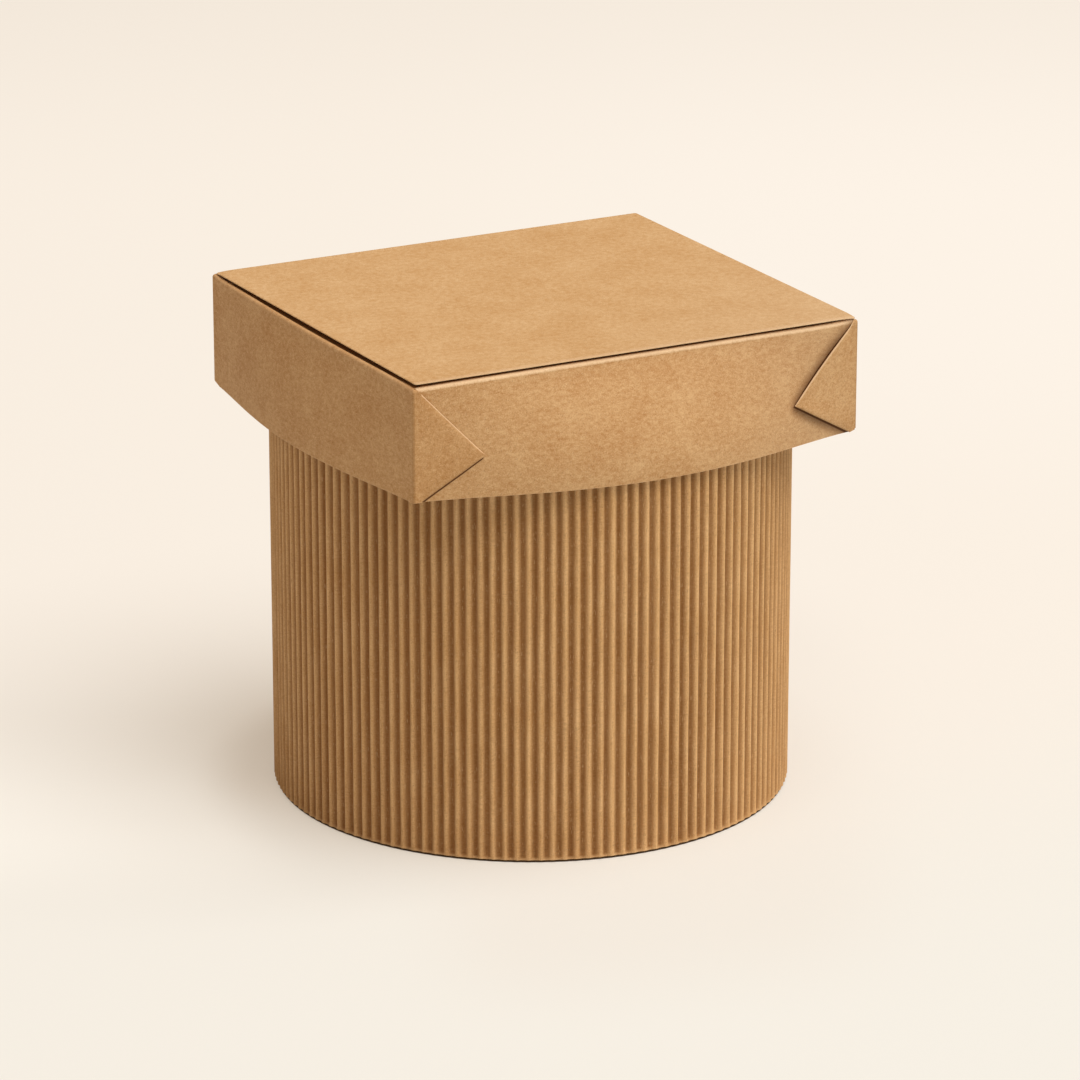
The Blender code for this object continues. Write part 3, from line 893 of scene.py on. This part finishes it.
settle(finished("lid_top_sheet", panel_plate(), panel_card()), "lid", "panel_card", "lid_top_panel")
STIFFENER_TONES = ((0.30, 0.14, 0.038, 1), (0.42, 0.21, 0.065, 1))
dress("lid_stiffener", kraft_paper("stiffener_board", EVEN_GRAIN, STIFFENER_TONES))
LID_LINING_TONES = ((0.50, 0.30, 0.135, 1), (0.62, 0.39, 0.19, 1))
dress("lid_lining", kraft_paper("lid_lining_card", EVEN_GRAIN, LID_LINING_TONES))


# Studio: the box stands on a wide sheet of pale paper. One large soft lamp stands to the right and in
# front, high up, and the pale room fills the shadows.
PAPER_TONES = ((0.885, 0.893, 0.908, 1), (0.895, 0.900, 0.914, 1))
PAPER_CLOUD = (0.25, 0.25, 0.25)
PAPER_FLECK = (0.002, 0.002, 0.002)
PAPER_NEAR = (0.825, 0.895, 0.938, 1)
PAPER_FAR = (0.93, 0.95, 0.99, 1)
PAPER_FOOT_SHADE = (0.62, 0.60, 0.58, 1)
PAPER_DIM = (0.757, 0.761, 0.773, 1)
PAPER_LIT = (0.935, 0.783, 0.62, 1)
PAPER_GLOW = (1.10, 0.95, 0.78, 1)
PAPER_EVEN = 0.46  # how far the paper's own light evens it out for the camera
FLOOR_HALF = 8.0
FLOOR_SQUARES = 8
CAMERA_TURN = math.radians(-28.15)
# Bands of the paper, across and along the view and out from the box: each is 0 at its first place and 1
# at its second.
NEAR_ALONG = (0.15, -0.15)
FAR_RIGHT_ACROSS = (-0.1, 0.1)
FAR_RIGHT_ALONG = (0.2, 0.45)
BACK_ALONG = (0.62, 1.1)
LEFT_ACROSS = (0.25, -0.45)
RIGHT_FOOT_ACROSS = (-0.04, 0)
RIGHT_FOOT_END = (0.12, 0.07)
RIGHT_FOOT_AWAY = (0.20, 0.13)
LEFT_FOOT_ACROSS = (-0.03, -0.07)
LEFT_FOOT_ALONG = (-0.045, 0)
LEFT_FOOT_AWAY = (0.100, 0.080)
GLOW_ACROSS = (-0.05, -0.09)
GLOW_ALONG = (0.05, -0.03)
GLOW_END = (-0.115, -0.05)
GLOW_AWAY = (0.080, 0.105)


def seen_directly(place):
    """1 for what the camera sees, straight or in a gloss or a glass, and 0 for the light on the object."""
    kinds = ("Is Camera Ray", "Is Glossy Ray", "Is Transmission Ray")
    camera, gloss, glass = (place.beside("ShaderNodeLightPath", {}, {}, kind) for kind in kinds)
    return place.maths("MAXIMUM", place.maths("MAXIMUM", camera, gloss), glass)


def studio_floor():
    bm = bmesh.new()
    bmesh.ops.create_grid(bm, x_segments=FLOOR_SQUARES, y_segments=FLOOR_SQUARES, size=FLOOR_HALF)
    mesh = bpy.data.meshes.new("studio_floor")
    bm.to_mesh(mesh)
    bm.free()
    material, shader, place = start_finish("studio_paper")
    turned = place.beside("ShaderNodeMapping", {}, {"Vector": place, "Rotation": (0, 0, -CAMERA_TURN)})
    apart = turned.beside("ShaderNodeSeparateXYZ", {}, {0: turned}).socket.node
    across, along = Wire(apart.outputs["X"]), Wire(apart.outputs["Y"])
    away = place.beside("ShaderNodeVectorMath", {"operation": "LENGTH"}, {0: place}, "Value")
    far_right = across.fade(*FAR_RIGHT_ACROSS) * along.fade(*FAR_RIGHT_ALONG)
    right_foot = across.fade(*RIGHT_FOOT_ACROSS) * across.fade(*RIGHT_FOOT_END)
    right_foot = away.fade(*RIGHT_FOOT_AWAY) * right_foot
    left_foot = across.fade(*LEFT_FOOT_ACROSS) * along.fade(*LEFT_FOOT_ALONG)
    left_foot = away.fade(*LEFT_FOOT_AWAY) * left_foot
    colour = (0.5 + mottle(place, PAPER_CLOUD, 3)).mix(*PAPER_TONES)
    # Painted light and shade on the paper: a tone shift near the front, whiter far to the right, painted
    # shadow round the left of the foot, and darker towards the back, the left and the right of the foot.
    colour = along.fade(*NEAR_ALONG).mix(colour, PAPER_NEAR)
    colour = (0.6 * far_right).mix(colour, PAPER_FAR)
    colour = (0.9 * left_foot).mix(colour, PAPER_FOOT_SHADE)
    dim = 0.65 * along.fade(*BACK_ALONG) + 0.4 * across.fade(*LEFT_ACROSS) + 0.4 * right_foot
    dim.mix(colour, PAPER_DIM).feed(shader, "Base Color")
    (BOARD_ROUGHNESS + 0.05 * mottle(place, PAPER_FLECK, 2)).feed(shader, "Roughness")
    # Painted light: a patch of the paper's own light lifts the lower part of the box's shadow.
    glow = along.fade(*GLOW_ALONG) * along.fade(*GLOW_END)
    glow = glow * across.fade(*GLOW_ACROSS) * away.fade(*GLOW_AWAY)
    sockets = {"Color": glow.mix(PAPER_LIT, PAPER_GLOW), "Strength": 1}
    lit = place.beside("ShaderNodeEmission", {}, sockets)
    even = seen_directly(place) * PAPER_EVEN
    mixed = place.beside("ShaderNodeMixShader", {}, {0: even, 1: Wire(shader.outputs["BSDF"]), 2: lit})
    mixed.feed(material.node_tree.nodes["Material Output"], "Surface")
    mesh.materials.append(material)
    placed("studio_floor", mesh)


ROOM = (1.0, 0.87, 0.72, 1)
ROOM_LEVEL = 0.36
KEY = (1.0, 0.99, 0.95)
KEY_LEVEL = 2.72
KEY_SPREAD = math.radians(56)
KEY_FROM = Vector((0.250, -0.350, 0.903))


def studio_light():
    world = bpy.data.worlds.new("pale_room")
    world.use_nodes = True
    sky = world.node_tree.nodes["Background"]
    sky.inputs["Color"].default_value = ROOM
    sky.inputs["Strength"].default_value = ROOM_LEVEL
    bpy.context.scene.world = world
    lamp = bpy.data.lights.new("key", "SUN")
    lamp.energy = KEY_LEVEL
    lamp.angle = KEY_SPREAD
    lamp.color = KEY
    placed("key", lamp).rotation_euler = KEY_FROM.to_track_quat("Z", "Y").to_euler()


SENSOR_WIDTH = 36
FOCAL_LENGTH = 183.3
CAMERA_PLACE = (-0.707, -1.327, 0.575)
CAMERA_TILT = math.radians(90 - 18.56)


def studio_camera():
    lens = bpy.data.cameras.new("camera")
    lens.sensor_width = SENSOR_WIDTH
    lens.lens = FOCAL_LENGTH
    camera = placed("camera", lens)
    camera.location = CAMERA_PLACE
    camera.rotation_euler = (CAMERA_TILT, 0, CAMERA_TURN)
    bpy.context.scene.camera = camera


studio_floor()
studio_light()
studio_camera()
bpy.context.scene.view_settings.view_transform = "Standard"
